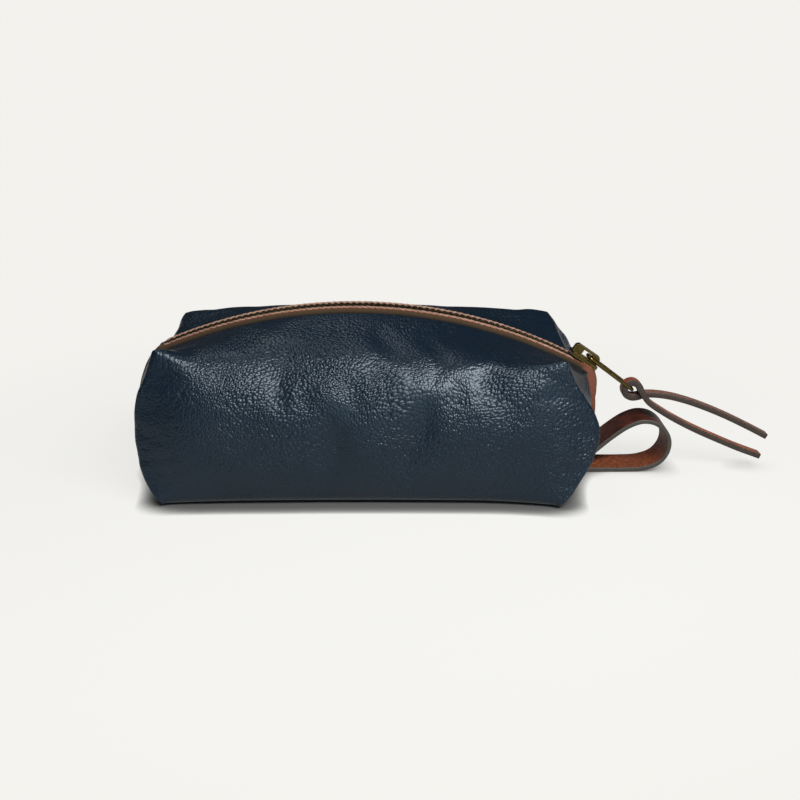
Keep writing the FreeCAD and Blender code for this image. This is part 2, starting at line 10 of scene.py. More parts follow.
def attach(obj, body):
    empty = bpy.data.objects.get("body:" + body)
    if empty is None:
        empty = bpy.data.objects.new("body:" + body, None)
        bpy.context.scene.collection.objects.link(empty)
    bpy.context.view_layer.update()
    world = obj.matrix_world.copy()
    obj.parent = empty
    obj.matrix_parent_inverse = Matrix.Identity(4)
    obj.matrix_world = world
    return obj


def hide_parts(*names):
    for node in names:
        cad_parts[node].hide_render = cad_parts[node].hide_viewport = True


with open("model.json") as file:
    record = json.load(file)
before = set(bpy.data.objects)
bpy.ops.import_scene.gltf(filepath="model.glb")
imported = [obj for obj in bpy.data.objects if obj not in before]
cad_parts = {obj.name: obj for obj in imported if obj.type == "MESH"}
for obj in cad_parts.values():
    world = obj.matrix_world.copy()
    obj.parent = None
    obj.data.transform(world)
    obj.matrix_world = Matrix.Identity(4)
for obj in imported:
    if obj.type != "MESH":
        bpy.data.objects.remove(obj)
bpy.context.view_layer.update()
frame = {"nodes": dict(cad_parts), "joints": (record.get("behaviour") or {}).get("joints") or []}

MM = 0.001
rng = np.random.default_rng(7)

# ------------------------------------------------------------------ shapes


def curve(points):
    """A smooth curve through (t, value) points that doesn't overshoot them."""
    t, v = np.array(points, float).T
    step = np.diff(t)
    slope = np.diff(v) / step
    grade = np.zeros(len(t))
    for i in range(1, len(t) - 1):
        if slope[i - 1] * slope[i] > 0:
            a, b = 2 * step[i] + step[i - 1], step[i] + 2 * step[i - 1]
            grade[i] = (a + b) / (a / slope[i - 1] + b / slope[i])
    grade[0], grade[-1] = slope[0], slope[-1]

    def value(x):
        x = np.clip(np.asarray(x, float), t[0], t[-1])
        i = np.clip(np.searchsorted(t, x) - 1, 0, len(t) - 2)
        h = step[i]
        s = (x - t[i]) / h
        return (
            (1 + 2 * s) * (1 - s) ** 2 * v[i]
            + s * (1 - s) ** 2 * h * grade[i]
            + s * s * (3 - 2 * s) * v[i + 1]
            + s * s * (s - 1) * h * grade[i + 1]
        )

    return value


def lerp(a, b, t):
    return a + (b - a) * t


def meet(c1, r1, c2, r2, side):
    """The point where two circles meet that lies further towards a side."""
    d = np.hypot(*(c2 - c1))
    a = (r1 * r1 - r2 * r2 + d * d) / (2 * d)
    h = math.sqrt(max(r1 * r1 - a * a, 0))
    u = (c2 - c1) / d
    p = c1 + a * u
    n = np.array([-u[1], u[0]])
    return max(p + h * n, p - h * n, key=lambda q: side * q[0])


def run_length(path):
    """Distance along a polyline at each of its points."""
    return np.r_[0, np.cumsum(np.linalg.norm(np.diff(path, axis=0), axis=1))]


def arc(centre, radius, start, end, steps):
    """Points of a circle between two points on it, the short way."""
    a = math.atan2(start[1] - centre[1], start[0] - centre[0])
    b = math.atan2(end[1] - centre[1], end[0] - centre[0])
    b = a + (b - a + math.pi) % (2 * math.pi) - math.pi
    t = np.linspace(a, b, steps)
    return np.c_[centre[0] + radius * np.cos(t), centre[1] + radius * np.sin(t)]


joints = {j["name"]: j for j in frame["joints"]}
ARC_CENTRE = np.array(joints["zip_travel"]["pos_m"])[[0, 2]] / MM
ARC_RADIUS = 243.7
DROP_FOOT = np.array([109.6, 5.0])  # where the tape goes in under the base, as (x, z)
DROP_RADIUS = 60.0  # bulge of the tape's drop down the end
DROP_MIDDLE_Z = 36.0  # height of the point that the drop is drawn through
DROP_STEPS, CURL_STEPS = 40, 14


def zip_end(side, through, bend):
    """The tape's drop and bend at one end, from its foot up to the main arc, and where it meets the arc."""
    foot = DROP_FOOT * [side, 1]
    point = np.array([through * side, DROP_MIDDLE_Z])
    chord = point - foot
    inward = np.array([-chord[1] * side, chord[0] * side]) / np.hypot(*chord)
    rise = math.sqrt(DROP_RADIUS**2 - (np.hypot(*chord) / 2) ** 2)
    centre = (foot + point) / 2 + inward * rise
    hub = meet(ARC_CENTRE, ARC_RADIUS - bend, centre, DROP_RADIUS - bend, side)
    to_arc = hub + (hub - ARC_CENTRE) / np.hypot(*(hub - ARC_CENTRE)) * bend
    to_drop = hub + (hub - centre) / np.hypot(*(hub - centre)) * bend
    drop = arc(centre, DROP_RADIUS, foot, to_drop, DROP_STEPS)
    curl = arc(hub, bend, to_drop, to_arc, CURL_STEPS)
    return np.vstack([drop, curl[1:]]), to_arc


left_end, left_top = zip_end(-1, 116.5, 18.0)
right_end, right_top = zip_end(1, 117.0, 4.0)
ZIP_PATH = np.vstack(
    [left_end, arc(ARC_CENTRE, ARC_RADIUS, left_top, right_top, 160)[1:-1], right_end[::-1]]
)
CHAIN_END = run_length(ZIP_PATH)[-1] - run_length(right_end)[-1] - 4.0  # where the teeth stop


def path_normals(path):
    """Unit normals pointing away from the bag along an XZ polyline drawn left to right."""
    ahead = np.gradient(path, axis=0)
    ahead /= np.hypot(*ahead.T)[:, None]
    return np.c_[-ahead[:, 1], ahead[:, 0]]


def offset_path(path, by):
    return path + path_normals(path) * by


# ------------------------------------------------------------------ bag form

# The bag is drawn as a lattice of NX by NY by NZ cells. From here on, side is -1 at the left end and 1 at
# the right, and back is -1 for the front half and 1 for the back half. Lengths are in millimetres.
NX, NY, NZ = 112, 46, 38
HALF = NY // 2  # the grid line along the zip
SLOT = 13.2  # zip line to the turned-in leather edge
SLOT_STEP = 5  # grid lines from the zip line to that edge

CORNER = {  # corner seams: height to distance from the middle, by (side, back)
    (-1, -1): [
        (0, 96.2), (4, 100.6), (12, 105.6), (22, 108.5), (35, 110.0),
        (47, 110.2), (56, 108), (63, 104.8), (70, 102.2), (79.5, 100.2),
    ],
    (1, -1): [
        (0, 92.2), (5, 98.3), (14, 104.2), (20, 108), (27, 111.2), (36, 113.3),
        (43, 112), (49, 109.2), (55, 105.0), (60, 101.6), (66, 98.9), (76, 95.6),
    ],
    (-1, 1): [(0, 97), (6, 102), (20, 108), (36, 111), (48, 110.5), (58, 107.5), (66, 103.6), (73, 101.6)],
    (1, 1): [(0, 96), (6, 102), (20, 109), (36, 113.5), (48, 113.6), (57, 110.5), (66, 104), (76.5, 97.6)],
}
EAR = {(-1, -1): 79.5, (1, -1): 76.0, (-1, 1): 75.5, (1, 1): 76.5}  # height of the four top corners
SHOULDER = {  # height of the top edge along the bag, by back: share of the half length to height
    -1: [
        (-1, 79.5), (-0.94, 78.5), (-0.86, 75.5), (-0.72, 72.5), (-0.4, 70.5), (0, 70),
        (0.4, 69.5), (0.72, 69.8), (0.86, 71.8), (0.94, 74.2), (1, 76),
    ],
    1: [
        (-1, 75.5), (-0.9, 76.8), (-0.6, 78.6), (-0.3, 79.5), (0, 80),
        (0.3, 79.8), (0.6, 79.2), (0.9, 78.0), (1, 76.5),
    ],
}
LEATHER_DROP = {-1: -0.3, 1: -2.2}  # leather edge beside the zip, above the tape's underside
END_DROP = -2.0  # the same at the right end
CROWN = {-1: 1.55, 1: 1.2}  # how long the top stays high before it rolls over
FOOT = {  # depth of the base edge along the bag, by back
    -1: [(-1, 58), (-0.9, 56.2), (-0.6, 54.2), (0, 53.2), (0.6, 54.0), (0.85, 57), (1, 61)],
    1: [(-1, 54), (-0.6, 51), (0, 50), (0.6, 51), (1, 54)],
}
BELLY = [  # how far the long walls stand out from the base edge: height to distance
    (0, 0), (6, 1.0), (16, 1.8), (30, 2.0), (42, 0.9), (52, -1.6), (60, -4.8), (70, -9.6), (82, -15),
]
CORNER_LEAN = {  # the same at the corner seams, by back
    -1: [(0, 0), (12, -4), (30, -8.0), (50, -10.0), (66, -11.0), (80, -11.5)],
    1: [(0, 0), (20, -4), (50, -7.5), (80, -8.5)],
}


def grid_line(j):
    """Where grid line j lies: -1 to 1 across the zip's slot, and 0 at the leather edge to 1 at the seam."""
    n = j - HALF
    if abs(n) <= SLOT_STEP:
        return n / SLOT_STEP, 0.0
    return np.sign(n), (abs(n) - SLOT_STEP) / (HALF - SLOT_STEP)


def bag_point_arrays(inset=0.0):
    """Positions of the whole (NX+1, NY+1, NZ+1) lattice, before smoothing. Only its skin is used."""
    turn = DROP_STEPS + CURL_STEPS // 2

    a = np.linspace(-1, 1, NX + 1)
    a = a * (1.06 - 0.06 * a * a)  # closer together towards the ends
    c = np.linspace(0, 1, NZ + 1)
    A, C = np.meshgrid(a, c, indexing="ij")
    out = np.zeros((NX + 1, NY + 1, NZ + 1, 3))

    def along(section, frac):
        """Points of a polyline at fractions of its length."""
        s = run_length(section)
        return np.c_[np.interp(frac * s[-1], s, section[:, 0]), np.interp(frac * s[-1], s, section[:, 1])]

    for j in range(NY + 1):
        across, t = grid_line(j)
        back = 1 if j > HALF else -1
        drop = np.full(len(ZIP_PATH), LEATHER_DROP[back])
        drop[-turn:] = END_DROP
        line = offset_path(ZIP_PATH, (drop - inset)[:, None])
        left, top, right = line[:turn], line[turn - 1 : 1 - turn], line[-turn:][::-1]
        end_mid = {-1: along(left, c), 1: along(right, c)}
        top_mid = along(top, (a + 1) / 2)
        mix = t**0.65
        xs, zs = {}, {}
        for side in (-1, 1):
            ear = EAR[side, back] - inset
            corner_z = c * ear
            corner_x = side * (curve(CORNER[side, back])(corner_z) - inset)
            xs[side] = lerp(end_mid[side][:, 0], corner_x, mix)
            zs[side] = lerp(end_mid[side][:, 1] * (c > 0), corner_z, t**1.3)
        # top surface
        hold = curve(SHOULDER[back])(a) - inset
        crown = lerp(top_mid[:, 1], hold, t ** (CROWN[back] + 0.5 * np.abs(a) ** 4))
        edge_x = np.where(a < 0, -a * xs[-1][-1], a * xs[1][-1])
        top_x = lerp(top_mid[:, 0], edge_x, t)
        # the lattice between the base and the top
        end_x = np.where(A < 0, -A * xs[-1][None, :], A * xs[1][None, :])
        w = C**3
        X = lerp(end_x, np.broadcast_to(top_x[:, None], end_x.shape), w * (np.abs(A) < 1))
        Z = C * crown[:, None]
        near = np.clip((np.abs(A) - 0.9) / 0.1, 0, 1) ** 2
        end_z = np.where(A < 0, zs[-1][None, :], zs[1][None, :])
        Z = lerp(Z, end_z, near * (C < 1))
        bulge = lerp(curve(BELLY)(Z), curve(CORNER_LEAN[back])(Z), np.abs(A) ** 6)
        depth = curve(FOOT[back])(A) + bulge - inset
        if t == 0:
            Y = np.full_like(Z, across * SLOT)
        else:
            Y = across * (SLOT + t * (depth - SLOT))
        out[:, j, :, 0], out[:, j, :, 1], out[:, j, :, 2] = X, Y, Z
    out[:, :, 0, 2] = inset
    return out


def skin(lattice):
    """The lattice's outer faces as (points, quads, grid index of each point)."""
    index, quads = {}, []

    def add_quad(*corners):
        for corner in corners:
            index.setdefault(corner, len(index))
        quads.append([index[corner] for corner in corners])

    for i in range(NX):
        for j in range(NY):
            add_quad((i, j, 0), (i, j + 1, 0), (i + 1, j + 1, 0), (i + 1, j, 0))
            add_quad((i, j, NZ), (i + 1, j, NZ), (i + 1, j + 1, NZ), (i, j + 1, NZ))
    for i in range(NX):
        for k in range(NZ):
            add_quad((i, 0, k), (i + 1, 0, k), (i + 1, 0, k + 1), (i, 0, k + 1))
            add_quad((i, NY, k), (i, NY, k + 1), (i + 1, NY, k + 1), (i + 1, NY, k))
    for j in range(NY):
        for k in range(NZ):
            add_quad((0, j, k), (0, j, k + 1), (0, j + 1, k + 1), (0, j + 1, k))
            add_quad((NX, j, k), (NX, j + 1, k), (NX, j + 1, k + 1), (NX, j, k + 1))
    keys = np.array(list(index))
    return lattice[tuple(keys.T)], np.array(quads), keys


def quad_edges(quads):
    """Both ends of every side of every quad."""
    return np.vstack([quads[:, [n, (n + 1) % 4]] for n in range(4)])


def at_zip(i, j, k):
    """Which grid points lie in the zip's slot or on the leather edges beside it."""
    return (np.abs(j - HALF) <= SLOT_STEP) & ((k == NZ) | (i == 0) | (i == NX))


def relax(points, quads, hold, rounds):
    """Rounds off a mesh by moving each point halfway to its neighbours' average; hold is 1 where it stays."""
    edges = quad_edges(quads)
    count = np.zeros(len(points))
    np.add.at(count, edges.ravel(), 1)
    free = ((1 - hold) * 0.5)[:, None]
    for _ in range(rounds):
        total = np.zeros_like(points)
        np.add.at(total, edges[:, 0], points[edges[:, 1]])
        np.add.at(total, edges[:, 1], points[edges[:, 0]])
        points = points + free * (total / count[:, None] - points)
    return points


def bag_surface(inset=0.0):
    """The bag's outer surface with its soft edges rounded."""
    points, quads, keys = skin(bag_point_arrays(inset))
    i, j, k = keys.T
    strip = at_zip(i, j, k)
    seam = ((i == 0) | (i == NX)) & ((j == 0) | (j == NY))
    hold = np.zeros(len(points))
    hold[strip] = 1.0
    hold[seam] = np.interp(points[seam][:, 2], [0, 4, 60, 76], [0.85, 0.95, 0.92, 0.55])
    rest = points.copy()
    points = relax(points, quads, hold, 26)
    # the base stays flat where it rests on the floor
    flat = (k == 0) & (np.abs(points[:, 0]) < 97)
    points[flat, 2] = np.where(np.abs(points[flat, 1]) < 46, inset, points[flat, 2])
    points[:, 2] = np.maximum(points[:, 2], inset)
    # the long base edges bow up off the floor between the corners
    rim = np.clip((np.abs(points[:, 1]) - 34) / 12, 0, 1) * np.exp(-((points[:, 2] / 9) ** 2))
    points[:, 2] += 0.5 * rim * (1 - np.clip(np.abs(points[:, 0]) / 96, 0, 1) ** 4)
    points[strip] = rest[strip]
    return points, quads, keys


def outward(points, quads):
    """Unit normals at the points."""
    normal = np.cross(points[quads[:, 2]] - points[quads[:, 0]], points[quads[:, 3]] - points[quads[:, 1]])
    total = np.zeros_like(points)
    for n in range(4):
        np.add.at(total, quads[:, n], normal)
    return total / np.maximum(np.linalg.norm(total, axis=1), 1e-9)[:, None]


def add_modifier(obj, kind, name, **settings):
    modifier = obj.modifiers.new(name, kind)
    for key, value in settings.items():
        setattr(modifier, key, value)
    return modifier


def make_mesh(name, points, faces, closed=False):
    """A smooth-shaded mesh from points in millimetres. A closed one gets all its faces turned outward."""
    mesh = bpy.data.meshes.new(name)
    mesh.from_pydata([tuple(p) for p in np.asarray(points) * MM], [], [list(map(int, f)) for f in faces])
    if closed:
        shape = bmesh.new()
        shape.from_mesh(mesh)
        bmesh.ops.recalc_face_normals(shape, faces=shape.faces)
        shape.to_mesh(mesh)
        shape.free()
    mesh.update()
    mesh.polygons.foreach_set("use_smooth", [True] * len(mesh.polygons))
    obj = bpy.data.objects.new(name, mesh)
    bpy.context.scene.collection.objects.link(obj)
    return obj


def from_seam(p, side, back, depth):
    """How far a point is, in plan, from the corner seam at the point's own height."""
    seam_x = side * float(np.interp(p[2], *np.array(CORNER[side, back]).T))
    return math.hypot(p[0] - seam_x, p[1] - back * depth)


def dent(points, normals):
    """Soft unevenness of stuffed leather: slow swells, and creases that run in from the corner seams."""
    moved = points.copy()
    for n, (p, v) in enumerate(zip(points, normals)):
        q = Vector(p)
        swell = noise.noise(q / 46 + Vector((3.1, 0.4, 7.7))) * 0.7 + noise.noise(q / 21) * 0.12
        near = 0.0
        for side in (-1, 1):
            for back in (-1, 1):
                near = max(near, math.exp(-((from_seam(p, side, back, 47) / 30.0) ** 2)))
        stretch = Vector((p[0] / 20, p[1] / 20, p[2] / 6.5))
        crease = noise.ridged_multi_fractal(stretch + Vector((9.2, 1.3, 4.4)), 0.9, 2.0, 2, 0.9, 2.0) - 1.0
        moved[n] = p + v * (swell - crease * 0.55 * near)
    return moved


CLOTH_CAP = 1.5  # how far the cloth may move from its starting shape
CLOTH_FRAMES = 20


def cloth_shift(points, quads):
    """How the leather moves when it's blown up a little as cloth held at its seams: (points, moves)."""
    held_form = make_mesh("cloth_form", points, quads)
    add_modifier(held_form, "REMESH", "even", mode="VOXEL", voxel_size=0.0046)
    bpy.context.view_layer.update()
    depsgraph = bpy.context.evaluated_depsgraph_get()
    mesh = bpy.data.meshes.new_from_object(held_form.evaluated_get(depsgraph))
    bpy.data.objects.remove(held_form)
    cloth = bpy.data.objects.new("cloth_form", mesh)
    bpy.context.scene.collection.objects.link(cloth)
    start = np.array([v.co[:] for v in mesh.vertices]) / MM
    group = cloth.vertex_groups.new(name="hold")
    for n, p in enumerate(start):
        side, back = (-1 if p[0] < 0 else 1), (-1 if p[1] < 0 else 1)
        beside_zip = 1.0 - (abs(p[1]) - SLOT - 1) / 16 if p[2] > 45 or abs(p[0]) > 100 else 0.0
        above_base = 1.0 - (p[2] - 1.5) / 8
        at_seam = 1.0 - from_seam(p, side, back, 48) / 16
        group.add([n], float(np.clip(max(beside_zip, above_base, at_seam), 0, 1)), "ADD")
    cloth_modifier = add_modifier(cloth, "CLOTH", "leather")
    leather = cloth_modifier.settings
    leather.quality = 6
    leather.mass = 0.25
    leather.tension_stiffness = leather.compression_stiffness = 18
    leather.shear_stiffness = 6
    leather.bending_stiffness = 2.0
    leather.vertex_group_mass = "hold"
    leather.use_pressure = True
    leather.uniform_pressure_force = 4.5
    leather.shrink_min = -0.012
    leather.effector_weights.gravity = 0.0
    cloth_modifier.collision_settings.use_collision = False
    cloth_modifier.point_cache.frame_end = CLOTH_FRAMES
    scene = bpy.context.scene
    for frame_number in range(1, CLOTH_FRAMES + 1):
        scene.frame_set(frame_number)
    done = cloth.evaluated_get(bpy.context.evaluated_depsgraph_get()).to_mesh()
    end = np.array([v.co[:] for v in done.vertices]) / MM
    scene.frame_set(1)
    bpy.data.objects.remove(cloth)
    move = end - start
    size = np.linalg.norm(move, axis=1)[:, None]
    return start, move * (CLOTH_CAP * np.tanh(size / CLOTH_CAP) / np.maximum(size, 1e-6))


def carry(points, start, move):
    """Moves given at some points, spread smoothly to others."""
    tree = kdtree.KDTree(len(start))
    for n, p in enumerate(start):
        tree.insert(p, n)
    tree.balance()
    out = np.zeros_like(points)
    for n, p in enumerate(points):
        near = tree.find_n(p, 9)
        weight = np.array([math.exp(-((d / 4.5) ** 2)) + 1e-6 for _, _, d in near])
        out[n] = (weight[:, None] * move[[m for _, m, _ in near]]).sum(0) / weight.sum()
    return out


def leather_moves():
    """How far the soft leather moves from the plain form, point by point."""
    points, quads, keys = bag_surface(0.0)
    i, j, k = keys.T
    moves = dent(points, outward(points, quads)) - points
    moves += carry(points, *cloth_shift(points, quads))
    # the base and the edges beside the zip stay as they are, and the moves grow away from them
    ease = np.where(at_zip(i, j, k) | (k == 0), 0.0, 1.0)
    edges = quad_edges(quads)
    for _ in range(9):
        near = np.ones(len(points))
        np.minimum.at(near, edges[:, 0], ease[edges[:, 1]])
        np.minimum.at(near, edges[:, 1], ease[edges[:, 0]])
        ease = np.minimum(ease, near + 0.12)
    return moves * ease[:, None]


MOVES = leather_moves()


def bag_panels(inset):
    """Front and back panels, as (name, points, faces, grid index), with the zip slot left open."""
    points, quads, keys = bag_surface(inset)
    points = points + MOVES
    i, j, k = keys.T
    made = []
    mid = j[quads].mean(1)
    on_end = (i[quads] == 0).all(1) | (i[quads] == NX).all(1)
    above_foot = points[quads][:, :, 2].mean(1) > 4.5
    slot = (np.abs(mid - HALF) < SLOT_STEP) & ((k[quads] == NZ).all(1) | (on_end & above_foot))
    for name, keep in (("front", mid < HALF), ("back", mid > HALF)):
        faces = quads[keep & ~slot]
        used = np.unique(faces)
        remap = -np.ones(len(points), int)
        remap[used] = np.arange(len(used))
        made.append((name, points[used], remap[faces], keys[used]))
    return made


HEM = [  # the turned-in edge's section: (towards the zip, outward)
    (0.7, -0.12), (1.25, -0.55), (1.35, -1.0), (0.9, -1.5), (0.0, -1.8), (-1.5, -2.5), (-3.0, -3.6),
]


def hem(points, faces, keys, back):
    """Adds the turned-in edge beside the zip to a panel."""
    i, j, k = keys.T
    on = at_zip(i, j, k) & (j == HALF + back * SLOT_STEP) & ((points[:, 2] > 3.0) | (k == NZ))
    # up the left end, along the top and down the right end
    rank = np.where(k == NZ, NZ + i, np.where(i == 0, k, NZ + NX + (NZ - k)))
    row = np.flatnonzero(on)
    row = row[np.argsort(rank[row])]
    normal = path_normals(points[row][:, [0, 2]])
    rows, extra = [row], []
    base = len(points)
    for toward, rise in HEM:
        new = points[row].copy()
        new[:, 1] += -back * toward
        new[:, 0] += normal[:, 0] * rise
        new[:, 2] += normal[:, 1] * rise
        rows.append(np.arange(len(new)) + base + len(extra) * len(new))
        extra.append(new)
    points = np.vstack([points] + extra)
    more = []
    for upper, lower in zip(rows, rows[1:]):
        for n in range(len(row) - 1):
            quad = [upper[n], upper[n + 1], lower[n + 1], lower[n]]
            more.append(quad if back < 0 else quad[::-1])
    return points, np.vstack([faces, np.array(more)])


# ------------------------------------------------------------------ materials


class Nodes:
    """A short way to write a material's node tree."""

    def __init__(self, name):
        self.material = bpy.data.materials.new(name)
        self.material.use_nodes = True
        self.tree = self.material.node_tree
        self.shader = self.tree.nodes["Principled BSDF"]

    def add(self, kind, inputs=None, **settings):
        node = self.tree.nodes.new("ShaderNode" + kind)
        for key, value in settings.items():
            setattr(node, key, value)
        for key, value in (inputs or {}).items():
            self.put(node.inputs[key], value)
        return node

    def put(self, socket, value):
        if isinstance(value, bpy.types.Node):
            value = value.outputs[0]
        if isinstance(value, bpy.types.NodeSocket):
            self.tree.links.new(value, socket)
        else:
            socket.default_value = value

    def maths(self, operation, a, b=0.0, c=0.0):
        return self.add("Math", {0: a, 1: b, 2: c}, operation=operation)

    def stretched_noise(self, vector, scale, **inputs):
        """Noise with its own scale along each axis."""
        mapped = self.add("Mapping", {"Vector": vector, "Scale": scale})
        return self.add("TexNoise", {"Vector": mapped, "Scale": 1.0, **inputs})

    def bump(self, height, strength, distance):
        inputs = {"Height": height, "Strength": strength, "Distance": distance}
        return self.add("Bump", inputs).outputs[0]

    def ramp(self, value, stops):
        node = self.add("ValToRGB", {0: value})
        elements = node.color_ramp.elements
        while len(elements) < len(stops):
            elements.new(0.5)
        for element, (place, colour) in zip(elements, stops):
            element.position = place
            element.color = (*colour, 1)
        return node

    def mix(self, factor, a, b, blend="MIX"):
        node = self.add("Mix", data_type="RGBA", blend_type=blend)
        self.put(node.inputs[0], factor)
        for socket, value in ((node.inputs[6], a), (node.inputs[7], b)):
            self.put(socket, (*value, 1) if isinstance(value, tuple) else value)
        return node.outputs[2]

    def set(self, **values):
        for key, value in values.items():
            value = (*value, 1) if isinstance(value, tuple) else value
            self.put(self.shader.inputs[key.replace("_", " ")], value)


def srgb(r, g, b):
    """An 8-bit display colour as the linear numbers that shaders use."""
    return tuple((v / 255 / 12.92) if v <= 10 else ((v / 255 + 0.055) / 1.055) ** 2.4 for v in (r, g, b))


def navy_leather():
    n = Nodes("navy_leather")
    place = n.add("TexCoord").outputs["Object"]
    # the grain is drawn out in directions that turn slowly across the hide
    warp = n.add("TexNoise", {"Vector": place, "Scale": 32.0, "Detail": 1.0})
    shift = n.add("VectorMath", {0: warp.outputs["Color"], 1: (0.5, 0.5, 0.5)}, operation="SUBTRACT")
    shift = n.add("VectorMath", {0: shift, "Scale": 0.015}, operation="SCALE")
    moved = n.add("VectorMath", {0: place, 1: shift}, operation="ADD")
    cells = {"Vector": moved, "Scale": 740.0, "Randomness": 0.85}
    pebble = n.add("TexVoronoi", {**cells, "Smoothness": 0.2}, feature="SMOOTH_F1")
    valley = n.add("TexVoronoi", cells, feature="DISTANCE_TO_EDGE")
    broad = n.add("TexNoise", {"Vector": place, "Scale": 60.0, "Detail": 2.0, "Roughness": 0.5})
    away = pebble.outputs["Distance"]
    dome = n.maths("MULTIPLY_ADD", n.maths("MULTIPLY", away, away), -2.4, 1.0)
    # the pebbles are pressed flatter in some places
    calm = n.add("TexNoise", {"Vector": place, "Scale": 26.0, "Detail": 2.0})
    relief = n.add("MapRange", {0: calm, 1: 0.38, 2: 0.60, 3: 0.35, 4: 1.0})
    pores = n.add("TexNoise", {"Vector": place, "Scale": 1400.0, "Detail": 2.0})
    grain = n.maths("MULTIPLY_ADD", pores, 0.45, dome)
    height = n.maths("MULTIPLY_ADD", broad, 0.8, n.maths("MULTIPLY", grain, relief))
    # painted shade: the valleys between the pebbles are darkened towards near-black
    painted_valley_shade = n.ramp(valley.outputs["Distance"], [(0.0, (1, 1, 1)), (0.08, (0.3, 0.3, 0.3)), (0.2, (0, 0, 0))])
    tone = n.add("TexNoise", {"Vector": place, "Scale": 22.0, "Detail": 4.0})
    colour = n.mix(tone, srgb(9, 22, 34), srgb(16, 33, 48))
    colour = n.mix(n.maths("MULTIPLY", painted_valley_shade, 0.7), colour, srgb(2, 7, 12))
    rough = n.maths("MULTIPLY_ADD", tone, 0.12, 0.27)
    n.set(Base_Color=colour, Roughness=rough, Normal=n.bump(height, 1.0, 0.00020))
    n.set(Specular_IOR_Level=0.45, Specular_Tint=(0.80, 0.92, 1.0))
    return n.material


TAPE_TINT_AND_SHADE = [  # tint across half the tape, by share of 16 mm from the zip line, painted shade included
    # shaded beside the chain, then the plain weave
    (0.15, (0.30, 0.26, 0.22)), (0.22, (1, 1, 1)), (0.375, (1, 1, 1)),
    # a rust selvedge line
    (0.39, (1.3, 0.60, 0.40)), (0.455, (1.1, 0.48, 0.30)),
    # painted shade on the outer edge, where the tape dips under the leather
    (0.475, (0.52, 0.60, 0.44)), (0.62, (0.44, 0.52, 0.38)), (0.75, (0.16, 0.18, 0.13)),
]


def tape_material():
    n = Nodes("zip_tape_weave")
    parts = n.add("SeparateXYZ", {0: n.add("UVMap", uv_map="UVMap")})
    along, across = parts.outputs[0], parts.outputs[1]
    # herringbone: the twill turns over every 1.7 mm across the tape
    fold = n.maths("PINGPONG", across, 1.7)
    slant = n.maths("MULTIPLY_ADD", fold, 1.15, along)
    twill = n.maths("SINE", n.maths("MULTIPLY", slant, 2 * math.pi / 0.95))
    rib = n.maths("SINE", n.maths("MULTIPLY", across, 2 * math.pi / 0.42))
    weave = n.maths("MULTIPLY_ADD", rib, 0.35, twill)
    height = n.maths("MULTIPLY_ADD", weave, 0.5, 0.5)
    place = n.add("TexCoord").outputs["Object"]
    fuzz = n.add("TexNoise", {"Vector": place, "Scale": 1500.0, "Detail": 2.0})
    bump = n.bump(n.maths("MULTIPLY_ADD", fuzz, 0.4, height), 0.6, 0.00018)
    wide = n.add("TexNoise", {"Vector": place, "Scale": 45.0, "Detail": 3.0})
    # painted light and shade on the weave: its ridges take the lighter colour and its dips the darker, shaded
    # one
    light = n.mix(wide, srgb(112, 82, 68), srgb(134, 102, 86))
    painted_shade = n.mix(wide, srgb(62, 42, 34), srgb(80, 56, 46))
    colour = n.mix(n.maths("MULTIPLY_ADD", weave, 0.33, 0.5), painted_shade, light)
    # past the teeth the tape is redder and loses its bands and their painted shade
    beyond = n.add("MapRange", {0: along, 1: CHAIN_END, 2: CHAIN_END + 5.0})
    colour = n.mix(n.maths("MULTIPLY", beyond, 0.55), colour, srgb(138, 74, 52))
    # the bands darken the tape with painted shade beside the chain and at its outer edge
    band_and_shade = n.ramp(n.maths("DIVIDE", n.maths("ABSOLUTE", across), 16.0), TAPE_TINT_AND_SHADE)
    banded = n.mix(1.0, colour, band_and_shade, "MULTIPLY")
    colour = n.mix(n.maths("MULTIPLY", beyond, 0.7), banded, colour)
    n.set(Base_Color=colour, Roughness=0.82, Normal=bump, Specular_IOR_Level=0.2)
    return n.material


def brass(name="antique_brass", painted_shade=0.0):
    n = Nodes(name)
    place = n.add("TexCoord").outputs["Object"]
    patch = n.add("TexNoise", {"Vector": place, "Scale": 420.0, "Detail": 4.0, "Roughness": 0.65})
    scratch = n.stretched_noise(place, (300, 300, 3200), Detail=2.0)
    # painted highlight: brighter metal along the edges, where a rounded normal leaves the plain one
    rounded = n.add("Bevel", {"Radius": 0.0006}, samples=4)
    plain = n.add("NewGeometry").outputs["Normal"]
    turn = n.add("VectorMath", {0: rounded, 1: plain}, operation="DOT_PRODUCT").outputs["Value"]
    edge = n.add("MapRange", {0: turn, 1: 0.995, 2: 0.85})
    base = n.mix(patch, srgb(70, 58, 29), srgb(122, 103, 57))
    base = n.mix(n.maths("MULTIPLY", edge, 0.8), base, srgb(196, 172, 108))
    # painted shade: mixes the brass towards near-black, for the shaded groove the teeth sit in
    if painted_shade:
        base = n.mix(painted_shade, base, srgb(34, 27, 19))
    rough = n.maths("MULTIPLY_ADD", patch, 0.25, 0.20)
    n.set(Base_Color=base, Metallic=1.0, Roughness=rough, Normal=n.bump(scratch, 0.12, 0.0001))
    return n.material


